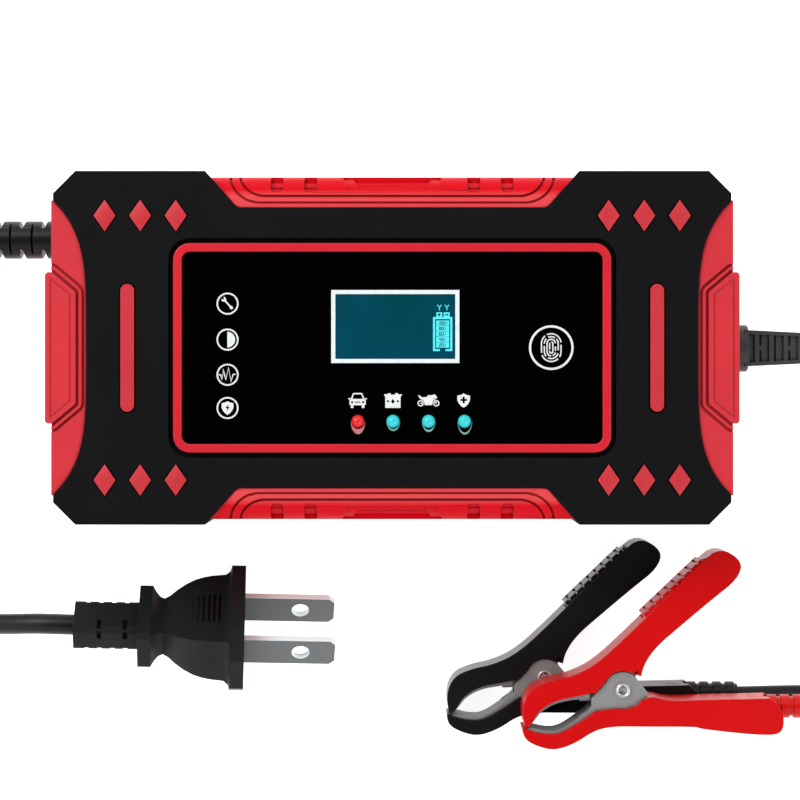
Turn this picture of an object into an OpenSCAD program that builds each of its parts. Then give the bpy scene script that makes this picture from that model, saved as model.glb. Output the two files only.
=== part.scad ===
// Car battery charger: housing with a control panel, mains lead with a plug, output lead with two clamps.
// Millimetres. The charger lies on its back, face up (+Z), the output lead leaves along +X,
// and the origin is on the surface below the middle of the housing.

/* [Housing] */
// Length over the two end blocks
body_length = 178; // [174:1:184]
// Width over the black shell
body_width = 90.6; // [89:0.2:94]
// Height of the face above the surface
face_z = 46; // [44:1:50]
// Size of the corner chamfers
corner_chamfer = 5.7; // [4:0.1:7]
// Thickness of the shell's walls
wall = 2.4; // [2:0.1:2.8]

/* [Panel] */
// Length of the red frame round the panel
frame_length = 112.1; // [108:0.1:114]
// Width of the red frame round the panel
frame_width = 53.6; // [51:0.1:55]
// Breadth of the frame's band
frame_band = 2.2; // [1.6:0.1:2.6]
// Diameter of the indicator lamps
led_d = 3.2; // [2.8:0.1:3.4]

/* [Trim] */
// Half width of a lozenge stud
stud_half_x = 2.8; // [2.4:0.1:3.2]
// Half height of a lozenge stud
stud_half_y = 4.05; // [3.6:0.05:4.4]
// Length of a red side bar
bar_length = 32.7; // [28:0.1:36]

/* [Clamps] */
// Thickness of a clamp's boots
clamp_thickness = 12; // [11.8:0.1:12.4]
// Radius of the rivet that a clamp turns on
rivet_r = 1.45; // [1.3:0.05:1.5]

/* [Hidden] */
$fn = 48;

// Colours
black = [0.045, 0.045, 0.05];
red = [0.8, 0.05, 0.07];
steel = [0.6, 0.6, 0.6];
green = [0.05, 0.3, 0.15];

// Heights of the housing
foot_h = 1.5;
foot_r = 5.5;
floor_top = foot_h + wall;
split_z = 24;
ceiling_z = face_z - 4;
recess_z = face_z - 1.8;
trim_base = 3;
trim_top = face_z - 0.6;

// Plan of the housing
shell_length = body_length - 4.3;
bumper_x = body_length / 2 - 1.6;
bumper_half_y = 37.8;
bumper_mid_x = bumper_x - 9;
notch_y = 35.9;
notch_half_x = 39.7;
notch_run = 8.2;
notch_rise = 9.4;
notch_corner = [[-0.66, 0.75], [0.09, 0.2], [1, 0]];
strip_y = 44.2;
strip_shoulder_y = 37.4;
strip_shoulder_drop = 5.5;
post_x = 62;
post_y = 38.4;
block_half_y = 19.4;
block_inner_y = 14.3;
block_r = 0.9;
block_line_in = 1.3;
block_line = 0.35;
groove = 0.75;
groove_depth = 0.6;
rib = 0.75;
strip_line_w = 0.6;
strip_ledge = 4.6;

// Control panel
frame_r = 4.3;
frame_groove = 1.3;
frame_top = face_z + 0.6;
panel_top = face_z - 0.1;
lcd_x = 0.8;
lcd_y = 5.45;
lcd_w = 32.8;
lcd_h = 18.7;
lcd_edge = 1.05;
led_xs = [-8.8, 0.2, 9.3, 18.5];
led_y = -18.8;
touch_x = 40.7;
board_z = 36.4;
board_top = 38;
boss_x = 46;
boss_y = 19;
stud_xs = [55.4, 64.5, 73.6];
stud_y = 33.85;
stud_floor = face_z - 1;
stud_dome_r = 14;
bar_x = 67.8;
bar_w = 3.5;
trim_gap = 0.35;

// Main board and what stands on it
pcb_bottom = 9;
pcb_top = 10.6;
pcb_x0 = -66;
pcb_x1 = 28;
pcb_half_y = 32;
standoff_xs = [-60, 22];
standoff_y = 27;
foot_at = [66, 28, 0];
vent_at = [52, body_width / 2 - 4, 8];
vent = [2, 6, 10];
vent_pitch = 4.6;
transformer_at = [-26, 6, pcb_top];
transformer_h = 24;
bulk_capacitor_at = [-50, -12, pcb_top];
output_capacitor_at = [22.4, -17, pcb_top];
output_capacitor_pitch = 11.5;
choke_at = [-52, 15, pcb_top + 9.5];
fuse_at = [-40, -27, pcb_top + 3];
sink_xs = [-5, 10.5];
transistor_ys = [-14, 2];

// Fan
fan_x = 50;
fan_size = 40;
fan_bore_r = 18.8;
fan_top = 13.9;
fan_hub_r = 8;
fan_pin_r = 1;
fan_blades = 7;
grille_slots = 5;
grille_pitch = 3.2;
grille_slot = 1.8;
grille_bar = 2.4;
grille_r = 17;

// Cords and their reliefs
cord_d = 5.6;
lead_d = 3.6;
mains_y = 29.2;
dc_y = 0.35;
relief_z = split_z;
mains_tip_x = -123;
neck_r = 3.6;
fit_gap = 0.1;
collar_r = 5.4;
relief_r = 5;
relief_core_r = 2.9;
notch_x = -92.3;
mains_pitch = 5.75;
dc_pitch = 3.85;
dc_flange_l = 5.1;
dc_flange_r = 6.2;
dc_rib_x = 7.2;
dc_rib = 1.2;
dc_window_depth = 0.6;
dc_slot_depth = 1;
dc_slot = 0.7;
dc_rail = 1;
dc_profile = [[4, 4.8], [18.7, 4.1], [36, 3.4]];
coil_mid_r = 30;
coil_turns_wide = 3;
coil_r0 = coil_mid_r - coil_turns_wide * cord_d / 2;
coil_r1 = coil_mid_r + coil_turns_wide * cord_d / 2;
coil_h = 2 * cord_d;
mains_coil = [-154, -33, 0];
dc_coil = [168, -38, 0];
mains_lead_route = [
  [-116, 29.2, 24], [-127, 29.2, 24], [-138, 29, 22.5], [-148, 29, 18.5], [-157, 28.5, 13], [-166, 26, 7.5],
  [-175, 21, 4], [-182, 13, 2.8], [-187, 2, 2.8], [-188.6, -10, 2.8], [-188.2, -22.6, 2.8]
];
mains_tail_route = [
  [-162, -68.5, 8.4], [-151, -71, 7.5], [-141, -73.2, 4.8], [-132, -74.1, 3.6], [-123, -74.2, 6.2],
  [-114, -74, 11], [-105, -73.8, 16], [-95, -73.3, 19.8], [-86, -73.5, 20.3], [-79, -73.7, 19.8]
];
dc_lead_route = [
  [118, 0.35, 24], [130, 0.35, 24], [139, 0.4, 21.5], [147, 0.8, 16.5], [155, 1.5, 10.5], [163, 1.5, 5.5],
  [171.5, -0.8, 3.2], [180, -4.5, 2.8]
];
dc_tail_route = [
  [203.5, -38, 8.4], [203.4, -46, 8.2], [202.9, -54, 7.2], [202.3, -61, 5.2], [202, -66.5, 4.1],
  [202, -70, 3.9]
];
black_lead_route = [
  [199.6, -77, 3.6], [199.6, -83, 2.8], [197, -89, 2], [191, -92.7, 1.9], [183, -94.1, 1.9], [173,
  -94.3, 1.9],
  [163, -94.3, 1.9], [153, -94.2, 1.9], [143, -94.2, 1.9], [133, -94, 1.9], [123, -93.9, 1.9],
  [113, -93.8, 2.4],
  [104, -93.7, 4.2], [97, -93.7, 5.6], [90, -93.7, 6]
];
red_lead_route = [
  [204.4, -77, 3.6], [204.4, -83, 2.8], [203, -90, 2], [198, -96.5, 1.9], [190, -100.4, 1.9], [181,
  -101.3, 2],
  [172, -100.7, 3.2], [163, -99.8, 6], [154, -98.6, 9.6], [145, -97.4, 13], [136, -96.4, 16], [127,
  -95.8, 18],
  [119, -95.6, 18.5], [110, -95.6, 18.5]
];
splitter = [202, -74, 0];
splitter_w = 12;
splitter_l = 16;
splitter_h = 7.6;

// Plug: drawn along X from its tail, rolled onto a facet of its flange, its nose a little down
plug_at = [-85.2, -73.5, 20.3];
plug_roll = 40;
plug_pitch = -4;
plug_yaw = -1.5;
tail_half_w = 4.1;
tail_half_n = 5.8;
tail_slot_x = 2.9;
tail_slot_pitch = 3.44;
tail_slot = 1.2;
collar_x0 = 17.2;
collar_x1 = 20.7;
flange_x0 = 41.8;
flange_x1 = 45.5;
flange_half_w = 11.7;
flange_half_n = 17.4;
flange_cut_w = 6.6;
flange_cut_n = 5.5;
bell_w = [
  [collar_x1, 5.9], [21.6, 5], [22.6, 4.3], [23.8, 4.05], [25.3, 4.5], [27.3, 5.3], [29.6, 6.1], [32, 6.7],
  [34.3, 7.1], [36.6, 7.3], [40.1, 7.5], [41.3, 8.1], [flange_x0, 9.2]
];
bell_n = [
  [collar_x1, 9.2], [21.6, 8], [22.6, 7], [23.8, 6.5], [25.3, 7.2], [27.3, 8.8], [29.6, 10.2], [32, 11.3],
  [34.3, 11.9], [36.6, 12.3], [40.1, 12.6], [41.3, 13.4], [flange_x0, 15]
];
grip_x = 31.8;
grip_pitch = 1.4;
grip_half = 5;
blade_length = 24.2;
blade_width = 8.8;
blade_thickness = 1.8;
blade_gap = 15.6;
blade_hole_r = 2.3;
blade_hole_x = 15;
blade_cut = 1.4;
blade_buried = 10;

// Clamps: the same clamp twice, the rivet along Z through each one's own origin
black_clamp_at = [41.4, -88.8, 6];
red_clamp_at = [61.3, -90.7, 18.5];
half_t = clamp_thickness / 2;
outer_ear = [3.9, 4.9];
inner_ear = [2.6, 3.6];
ear_r = 4.9;
inner_ear_r = 4.6;
running_gap = 0.05;
part_gap = 0.35;
head_r = 1.9;
spring_wire = 1;
sleeve_y = -4.9;
sleeve_x0 = 34;
sleeve_x1 = 53;
sleeve_r = 2.8;
grip_angle = 43.5;
grip_groove = 0.6;
grip_groove_pitch = 2.6;

// Helpers

module prism(z0, z1) {
  translate([0, 0, z0])
    linear_extrude(z1 - z0)
      children();
}

module both_x() {
  children();
  mirror([1, 0, 0])
    children();
}

module both_y() {
  children();
  mirror([0, 1, 0])
    children();
}

module both_z() {
  children();
  mirror([0, 0, 1])
    children();
}

module four() {
  both_x()
    both_y()
      children();
}

module round_rect(w, h, r) {
  square([w - 2 * r, h], center = true);
  square([w, h - 2 * r], center = true);
  for (x = [-1, 1])
    for (y = [-1, 1])
      translate([x * (w / 2 - r), y * (h / 2 - r)])
        circle(r);
}

module along_x(x0, x1) {
  translate([x0, 0, 0])
    rotate([90, 0, 90])
      linear_extrude(x1 - x0)
        children();
}

module rod_x(r, x0, x1) {
  translate([x0, 0, 0])
    rotate([0, 90, 0])
      cylinder(r = r, h = x1 - x0);
}

module mirrored_profile(p) {
  n = len(p);
  polygon(concat(p, [for (i = [n - 1 : -1 : 0]) [p[i][0], -p[i][1]]]));
}

module torus(r, wire) {
  rotate_extrude()
    translate([r, 0])
      circle(d = wire, $fn = 16);
}

// Corner cutting: each pass replaces a corner by two points, so a few points give a smooth outline.
function cut_corners(p) = [
  for (i = [0 : len(p) - 1])
    let (a = p[i], b = p[(i + 1) % len(p)])
      for (t = [0.25, 0.75])
        a + (b - a) * t
];

function smooth(p) = cut_corners(cut_corners(p));

// A tube swept along a route, with a ring of points at each of its points.
function unit(v) = v / norm(v);

function route_dir(p, i) = unit(p[min(i + 1, len(p) - 1)] - p[max(i - 1, 0)]);

function ring_at(p, i, r, sides) =
  let (t = route_dir(p, i), side = unit(cross(t, [0, 0, 1])), up = cross(side, t))
    [for (k = [0 : sides - 1]) p[i] + r * (cos(360 * k / sides) * side + sin(360 * k / sides) * up)];

module tube(p, r, sides) {
  n = len(p);
  points = [for (i = [0 : n - 1]) each ring_at(p, i, r, sides)];
  walls = [
    for (i = [0 : n - 2])
      for (k = [0 : sides - 1])
        let (a = i * sides + k, b = i * sides + (k + 1) % sides)
          [a, a + sides, b + sides, b]
  ];
  first_cap = [for (k = [0 : sides - 1]) k];
  last_cap = [for (k = [sides - 1 : -1 : 0]) (n - 1) * sides + k];
  polyhedron(points = points, faces = concat(walls, [first_cap, last_cap]));
}

// Housing

function bumper_inner_x(y) =
  bumper_mid_x + (bumper_x - 0.4 - bumper_mid_x) * pow(abs(y) / bumper_half_y, 4.6);

module bumper_plan() {
  inner = [for (i = [-14 : 14]) let (y = bumper_half_y * i / 14) [bumper_inner_x(y), y]];
  polygon(concat(inner, [[bumper_x, bumper_half_y], [bumper_x, -bumper_half_y]]));
}

// The notch for a grip strip, out to a given line, with its inner corners rounded
module notch_plan(edge_y) {
  edge_x = notch_half_x + notch_run * (edge_y - notch_y) / notch_rise;
  left = concat([[-edge_x, edge_y]], [for (c = notch_corner) [c[0] - notch_half_x, c[1] + notch_y]]);
  n = len(left);
  polygon(concat(left, [for (i = [n - 1 : -1 : 0]) [-left[i][0], left[i][1]]]));
}

module shell_plan() {
  x = shell_length / 2;
  y = body_width / 2;
  c = corner_chamfer;
  difference() {
    polygon([
      [x, y - c], [x - c, y], [c - x, y], [-x, y - c], [-x, c - y], [c - x, -y], [x - c, -y], [x, c - y]
    ]);
    both_y()
      notch_plan(body_width / 2 + 1);
    both_x()
      bumper_plan();
  }
}

module cavity_plan() {
  offset(delta = -wall)
    shell_plan();
}

module rounded(r) {
  offset(r = r)
    offset(delta = -r)
      children();
}

module block_plan() {
  x = body_length / 2;
  rounded(block_r)
    polygon([
      [x - 7.9, block_inner_y], [x - 1.8, block_half_y], [x, block_half_y],
      [x, -block_half_y], [x - 1.8, -block_half_y], [x - 7.9, -block_inner_y]
    ]);
}

module relief_hole(y) {
  translate([0, y, relief_z])
    rod_x(neck_r + fit_gap, body_length / 2 - 16, body_length / 2 + 1);
}

module relief_holes() {
  relief_hole(dc_y);
  mirror([1, 0, 0])
    relief_hole(mains_y);
}

module stud_plan(gap) {
  x = stud_half_x + gap;
  y = stud_half_y + gap * stud_half_y / stud_half_x;
  polygon([[x, 0], [0, y], [-x, 0], [0, -y]]);
}

module at_studs() {
  for (x = stud_xs)
    four()
      translate([x, stud_y])
        children();
}

module bar_plan(gap) {
  w = bar_w + 2 * gap;
  run = bar_length - bar_w;
  square([w, run], center = true);
  both_y()
    translate([0, run / 2])
      circle(d = w);
}

module fan_grille() {
  for (i = [0 : grille_slots - 1])
    let (x = grille_pitch * (i + 0.5))
      both_x()
        both_y()
          translate([x - grille_slot / 2, grille_bar / 2])
            square([grille_slot, sqrt(pow(grille_r, 2) - pow(x, 2))]);
}

module side_vents() {
  for (i = [0 : 5])
    four()
      translate(vent_at + [i * vent_pitch, 0, 0])
        cube(vent);
}

module rear_shell() {
  color(black)
    difference() {
      union() {
        difference() {
          prism(foot_h, split_z)
            shell_plan();
          prism(floor_top, split_z + 1)
            cavity_plan();
        }
        four()
          translate([post_x, post_y, foot_h + 0.5])
            cylinder(r = 4, h = split_z - foot_h - 0.5);
        for (x = standoff_xs)
          both_y()
            translate([x, standoff_y, floor_top - 0.5])
              cylinder(r = 3, h = pcb_bottom - floor_top + 0.5);
      }
      four()
        translate([post_x, post_y, 0])
          cylinder(r = 3.2, h = 13.5);
      four()
        translate([post_x, post_y, 0])
          cylinder(r = 1.7, h = split_z + 1);
      for (x = standoff_xs)
        both_y()
          translate([x, standoff_y, floor_top])
            cylinder(r = 1.1, h = pcb_bottom);
      translate([fan_x, 0, 0])
        prism(0, floor_top + 1)
          fan_grille();
      side_vents();
      relief_holes();
    }
}

module front_shell() {
  color(black)
    difference() {
      union() {
        difference() {
          prism(split_z, face_z)
            shell_plan();
          prism(split_z - 1, ceiling_z)
            cavity_plan();
        }
        four()
          translate([post_x, post_y, split_z])
            cylinder(r = 4, h = ceiling_z - split_z + 0.5);
        four()
          translate([boss_x, boss_y, board_top])
            cylinder(r = 2.5, h = ceiling_z - board_top + 0.5);
      }
      prism(recess_z, face_z + 1)
        round_rect(frame_length + 2 * frame_groove, frame_width + 2 * frame_groove, frame_r + frame_groove);
      four()
        translate([post_x, post_y, split_z - 1])
          cylinder(r = 1.45, h = 15);
      prism(stud_floor, face_z + 1)
        at_studs()
          stud_plan(trim_gap);
      both_x()
        translate([bar_x, 0, 0])
          prism(stud_floor, face_z + 1)
            bar_plan(trim_gap);
      translate([lcd_x, lcd_y, ceiling_z - 1])
        prism(0, 5)
          square([lcd_w, lcd_h], center = true);
      for (x = led_xs)
        translate([x, led_y, ceiling_z - 1])
          cylinder(d = led_d + 0.4, h = 5);
      translate([touch_x, 0, ceiling_z - 1])
        cylinder(r = 4.2, h = 5);
      relief_holes();
    }
}

module feet() {
  color(black)
    four()
      translate(foot_at)
        cylinder(r = foot_r, h = foot_h);
}

module case_screws() {
  color(steel)
    four()
      translate([post_x, post_y, 0]) {
        difference() {
          translate([0, 0, 11])
            cylinder(r = 2.9, h = 2.5);
          translate([0, 0, 10])
            cube([0.9, 4, 4], center = true);
          translate([0, 0, 10])
            cube([4, 0.9, 4], center = true);
        }
        translate([0, 0, 13])
          cylinder(r = 1.4, h = 20);
      }
}

module end_bumper(hole_y) {
  difference() {
    prism(trim_base, trim_top)
      bumper_plan();
    prism(0, face_z)
      block_plan();
    prism(trim_top - groove_depth, face_z)
      difference() {
        offset(delta = groove)
          block_plan();
        block_plan();
      }
    prism(trim_top - groove_depth, face_z)
      difference() {
        offset(delta = 2 * groove + rib)
          block_plan();
        offset(delta = groove + rib)
          block_plan();
      }
    relief_hole(hole_y);
  }
}

module end_block() {
  difference() {
    prism(trim_base, trim_top + 0.2)
      block_plan();
    prism(trim_top, face_z)
      difference() {
        offset(delta = -block_line_in)
          block_plan();
        offset(delta = -block_line_in - block_line)
          block_plan();
      }
  }
}

module end_bumper_left() {
  color(red)
    mirror([1, 0, 0])
      end_bumper(mains_y);
}

module end_bumper_right() {
  color(red)
    end_bumper(dc_y);
}

module end_block_left() {
  color(red)
    mirror([1, 0, 0])
      end_block();
}

module end_block_right() {
  color(red)
    difference() {
      end_block();
      relief_hole(dc_y);
    }
}

// The strip's section across Y and Z, with a shoulder that falls away to the long edge
function shoulder(inset) = [
  for (a = [90 : -10 : 0])
    [
      strip_shoulder_y + (strip_y - strip_shoulder_y) * sin(a) - inset,
      trim_top + 0.2 - strip_shoulder_drop * (1 - cos(a)) - inset
    ]
];

module strip_section(inset) {
  along_x(-50, 50)
    polygon(concat([[20, trim_base], [strip_y - inset, trim_base]], shoulder(inset), [[20,
      trim_top + 0.2 - inset]]));
}

module strip_line(half_x, low_y, r) {
  translate([0, low_y + 10])
    difference() {
      round_rect(2 * half_x, 20, r);
      round_rect(2 * half_x - 2 * strip_line_w, 20 - 2 * strip_line_w, r - strip_line_w);
    }
}

// A cut of even depth into the strip's shoulder, which ends above a ledge so that the long edge stays whole
module strip_cut(depth) {
  difference() {
    prism(trim_top - strip_ledge, face_z + 1)
      children();
    strip_section(depth);
  }
}

module boat(half_x, low_y) {
  polygon([[-half_x, strip_y + 1], [2.2 - half_x, low_y], [half_x - 2.2, low_y], [half_x, strip_y + 1]]);
}

module grip_strip() {
  color(red)
    difference() {
      intersection() {
        prism(trim_base, face_z)
          notch_plan(strip_y);
        strip_section(0);
      }
      strip_cut(0.5)
        strip_line(42, 36.9, 8);
      strip_cut(0.5)
        strip_line(39.7, 38.6, 7);
      strip_cut(0.5)
        boat(13.4, 40.6);
      strip_cut(1)
        boat(11, 41.6);
      strip_cut(1)
        for (x = [21, 29.6])
          both_x()
            translate([x, 41.5 + 2])
              round_rect(3.2, 7.2, 1.2);
    }
}

module grip_strip_top() {
  grip_strip();
}

module grip_strip_bottom() {
  mirror([0, 1, 0])
    grip_strip();
}

// Panel and display

module panel_frame() {
  color(red)
    prism(recess_z, frame_top)
      difference() {
        round_rect(frame_length, frame_width, frame_r);
        round_rect(frame_length - 2 * frame_band, frame_width - 2 * frame_band, frame_r - frame_band);
      }
}

module front_panel() {
  color([0.01, 0.01, 0.01])
    difference() {
      prism(recess_z, panel_top)
        round_rect(frame_length - 2 * frame_band, frame_width - 2 * frame_band, frame_r - frame_band);
      translate([lcd_x, lcd_y, recess_z - 1])
        prism(0, 4)
          square([lcd_w, lcd_h], center = true);
      for (x = led_xs)
        translate([x, led_y, recess_z - 1])
          cylinder(d = led_d + 0.1, h = 4);
    }
}

module diamond_studs() {
  color(red)
    at_studs()
      intersection() {
        prism(stud_floor, face_z + 1)
          stud_plan(0);
        translate([0, 0, face_z + 0.6 - stud_dome_r])
          sphere(r = stud_dome_r, $fn = 64);
      }
}

module side_bars() {
  color(red)
    both_x()
      translate([bar_x, 0, 0])
        prism(stud_floor, face_z + 0.4)
          bar_plan(0);
}

module lcd_bezel() {
  color([0.9, 0.95, 0.97])
    translate([lcd_x, lcd_y, 0])
      prism(ceiling_z, panel_top + 0.15)
        difference() {
          square([lcd_w, lcd_h], center = true);
          square([lcd_w - 2 * lcd_edge, lcd_h - 2 * lcd_edge], center = true);
        }
}

module lcd_glass() {
  color([0, 0.22, 0.3])
    translate([lcd_x, lcd_y, 0])
      prism(ceiling_z - 0.6, panel_top - 0.1)
        square([lcd_w - 2 * lcd_edge, lcd_h - 2 * lcd_edge], center = true);
}

module lcd_backlight() {
  color([0.85, 0.87, 0.88])
    translate([lcd_x, lcd_y, 0])
      prism(board_top, ceiling_z - 0.6)
        square([lcd_w + 3, lcd_h + 3], center = true);
}

module led_lamp(x) {
  translate([x, led_y, board_top]) {
    cylinder(d = led_d + 0.8, h = 1);
    cylinder(d = led_d, h = panel_top - board_top);
    translate([0, 0, panel_top - board_top])
      intersection() {
        sphere(d = led_d);
        translate([0, 0, led_d / 2])
          cube(led_d, center = true);
      }
  }
}

module led_red() {
  color([0.9, 0.05, 0.05])
    led_lamp(led_xs[0]);
}

module leds_cyan() {
  color([0.1, 0.8, 0.85])
    for (i = [1 : 3])
      led_lamp(led_xs[i]);
}

module touch_spring() {
  pitch = 0.65;
  turns = floor((recess_z - board_top) / pitch);
  color(steel)
    for (i = [0 : turns - 1])
      translate([touch_x, 0, board_top + 0.45 + i * pitch])
        torus(3, 0.8);
}

module display_board() {
  color(green)
    difference() {
      prism(board_z, board_top)
        square([100, 46], center = true);
      four()
        translate([boss_x, boss_y, board_z - 1])
          cylinder(r = 1.2, h = 4);
    }
}

// Main board

module main_board() {
  color(green)
    difference() {
      prism(pcb_bottom, pcb_top)
        polygon([[pcb_x0, -pcb_half_y], [pcb_x1, -pcb_half_y], [pcb_x1, pcb_half_y], [pcb_x0, pcb_half_y]]);
      for (x = standoff_xs)
        both_y()
          translate([x, standoff_y, pcb_bottom - 1])
            cylinder(r = 1.3, h = 4);
    }
}

module board_screws() {
  color(steel)
    for (x = standoff_xs)
      both_y()
        translate([x, standoff_y, 0]) {
          translate([0, 0, pcb_top])
            cylinder(r = 2.2, h = 1.6);
          translate([0, 0, floor_top + 0.5])
            cylinder(r = 1, h = pcb_top - floor_top);
        }
}

module transformer_core() {
  color([0.12, 0.12, 0.13])
    translate(transformer_at)
      difference() {
        translate([-14, -6, 0])
          cube([28, 12, transformer_h]);
        for (x = [-1, 1])
          translate([x * 7.5, 0, transformer_h / 2])
            cube([6, 14, 16], center = true);
      }
}

module transformer_winding() {
  color([0.8, 0.65, 0.15])
    translate(transformer_at + [0, 0, 4.4])
      difference() {
        translate([-10.1, -10, 0])
          cube([20.2, 20, 15.2]);
        for (y = [-1, 1])
          translate([0, y * 8.1, 0])
            for (x = [-1, 1])
              translate([x * 12.6, 0, 7.6])
                cube([5, 3.5, 16], center = true);
        translate([-4.5, -6, -1])
          cube([9, 12, 18]);
      }
}

module bulk_capacitor() {
  color([0.1, 0.1, 0.14])
    translate(bulk_capacitor_at)
      difference() {
        cylinder(r = 9, h = 24);
        translate([0, 0, 21])
          rotate_extrude()
            translate([9.3, 0])
              circle(r = 0.8, $fn = 16);
      }
}

module output_capacitors() {
  color([0.1, 0.12, 0.3])
    for (i = [0 : 2])
      translate(output_capacitor_at + [0, i * output_capacitor_pitch, 0])
        cylinder(r = 5, h = 18);
}

module filter_choke() {
  color([0.65, 0.35, 0.12])
    translate(choke_at)
      rotate([90, 0, 0])
        torus(6, 7);
}

module heatsinks() {
  color([0.75, 0.76, 0.78])
    for (x = sink_xs)
      translate([x, -8, pcb_top]) {
        translate([-1, -16, 0])
          cube([2, 34, 22]);
        for (i = [0 : 5])
          translate([0.5, -16 + i * 6.5, 4])
            cube([4, 1.5, 18]);
      }
}

module power_transistors() {
  color([0.08, 0.08, 0.08])
    for (x = sink_xs)
      for (y = transistor_ys)
        translate([x - 5.4, y - 5, pcb_top + 4]) {
          cube([4.4, 10, 9]);
          translate([3.1, 0, 9])
            cube([1.3, 10, 6.5]);
          for (k = [-1 : 1])
            translate([2, 4.5 + k * 2.54, -4])
              cube([0.6, 0.8, 4.5]);
        }
}

module fuse() {
  color([0.8, 0.8, 0.75])
    translate(fuse_at)
      union() {
        rod_x(2.5, -10, 10);
        for (x = [-10, 5])
          rod_x(3, x, x + 5);
      }
}

// Fan

module fan_frame() {
  color(black)
    translate([fan_x, 0, 0]) {
      difference() {
        prism(floor_top, fan_top)
          square(fan_size, center = true);
        translate([0, 0, floor_top - 1])
          cylinder(r = fan_bore_r, h = 12);
        four()
          translate([16, 16, floor_top - 1])
            cylinder(r = 1.7, h = 12);
      }
      translate([0, 0, floor_top])
        cylinder(r = fan_hub_r, h = 1.2);
      for (a = [0, 90])
        rotate([0, 0, a + 45])
          translate([-fan_bore_r - 1, -1, floor_top])
            cube([2 * fan_bore_r + 2, 2, 1.2]);
      translate([0, 0, floor_top])
        cylinder(r = fan_pin_r, h = 8.2);
    }
}

module fan_rotor() {
  color(black)
    translate([fan_x, 0, 0])
      difference() {
        union() {
          translate([0, 0, floor_top + 1.6])
            cylinder(r = fan_hub_r, h = 7.8);
          for (i = [0 : fan_blades - 1])
            rotate([0, 0, i * 360 / fan_blades])
              intersection() {
                translate([fan_hub_r - 1, 0, floor_top + 5.5])
                  rotate([38, 0, 0])
                    translate([0, -5, -0.5])
                      cube([11, 10, 1]);
                translate([0, 0, floor_top + 1.8])
                  cylinder(r = fan_bore_r - 0.7, h = 7.4);
              }
        }
        translate([0, 0, floor_top])
          cylinder(r = fan_pin_r + running_gap, h = 8.6);
      }
}

// Strain reliefs

// Wedge notches on both sides, and thin slots between them across the front and the back
module side_notches(x) {
  both_y()
    translate([x, 0, 0])
      prism(-relief_r - 1, relief_r + 1)
        polygon([[-0.4, relief_core_r], [0.4, relief_core_r], [0.85, relief_r + 0.4], [-0.85,
          relief_r + 0.4]]);
}

module cross_slots(x) {
  both_z()
    translate([x, 0, relief_core_r + 2])
      cube([0.45, 2 * relief_r + 2, 4], center = true);
}

module mains_strain_relief() {
  x0 = -body_length / 2 + 1.6;
  color(black)
    translate([0, mains_y, relief_z])
      difference() {
        union() {
          rod_x(relief_r, mains_tip_x + 6, x0);
          rod_x(4.2, mains_tip_x, mains_tip_x + 7);
          rod_x(neck_r, x0 - 1, -body_length / 2 + 15.5);
          rod_x(collar_r, -body_length / 2 + 13, -body_length / 2 + 15.5);
        }
        for (i = [0 : 4])
          side_notches(notch_x - i * mains_pitch);
        for (i = [0 : 4])
          cross_slots(notch_x - (i + 0.5) * mains_pitch);
        rod_x(cord_d / 2 + 0.01, mains_tip_x - 1, mains_tip_x + 10);
      }
}

// The square tapered body, drawn from the housing's end outwards
function dc_half(x) = lookup(x, dc_profile);

module dc_body(inset) {
  profile = [for (p = dc_profile) [p[0], p[1] - inset]];
  intersection() {
    prism(-6, 6)
      mirrored_profile(profile);
    rotate([90, 0, 0])
      prism(-6, 6)
        mirrored_profile(profile);
  }
}

// On each face a shallow window between two ribs, and a slot beside each rib, bridged by every second rib
module dc_windows() {
  difference() {
    for (i = [-1 : 6])
      let (x = max(dc_rib_x + i * dc_pitch + dc_rib / 2, dc_flange_l + 0.1),
           x_end = dc_rib_x + (i + 1) * dc_pitch - dc_rib / 2,
           w = dc_half(x_end) - dc_rail)
        translate([x, -w, -6])
          cube([x_end - x, 2 * w, 12]);
    dc_body(dc_window_depth);
  }
  difference() {
    for (i = [0 : 5])
      let (x = dc_rib_x + i * dc_pitch + dc_rib / 2, w = dc_half(x) - dc_rail)
        translate([x, -w, -6])
          cube([dc_slot, 2 * w, 12]);
    dc_body(dc_slot_depth);
    for (i = [0 : 2 : 5])
      translate([dc_rib_x + i * dc_pitch, -0.7, -6])
        cube([2, 1.4, 12]);
  }
}

module dc_strain_relief() {
  x0 = body_length / 2;
  tip = dc_profile[2][0];
  color(black)
    translate([x0, dc_y, relief_z])
      difference() {
        union() {
          rod_x(dc_flange_r, 0, dc_flange_l);
          dc_body(0);
          rod_x(neck_r, -15.5, 4.5);
          rod_x(collar_r, -15.5, -13);
        }
        for (a = [0, 90])
          rotate([a, 0, 0])
            dc_windows();
        rod_x(cord_d / 2 + 0.01, tip - 7.5, tip + 1);
      }
}

// Cords

module mains_cord_lead() {
  color(black)
    tube(mains_lead_route, cord_d / 2, 8);
}

module mains_cord_tail() {
  color(black)
    tube(mains_tail_route, cord_d / 2, 12);
}

module coil_solid() {
  rotate_extrude($fn = 72)
    translate([coil_mid_r, coil_h / 2])
      round_rect(coil_r1 - coil_r0, coil_h, cord_d / 2);
}

module coil_tie() {
  difference() {
    translate([coil_mid_r - 9.6, -4, 0])
      cube([19.2, 8, coil_h + 1]);
    translate([coil_mid_r - 8.6, -5, 0.8])
      cube([17.2, 10, coil_h - 0.6]);
  }
}

module mains_cord_coil() {
  color(black)
    translate(mains_coil)
      coil_solid();
}

module mains_cord_tie() {
  color(black)
    translate(mains_coil)
      coil_tie();
}

module dc_cord_lead() {
  color(black)
    tube(dc_lead_route, cord_d / 2, 8);
}

module dc_cord_tail() {
  color(black)
    tube(dc_tail_route, cord_d / 2, 8);
}

module dc_cord_coil() {
  color(black)
    translate(dc_coil)
      coil_solid();
}

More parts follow.
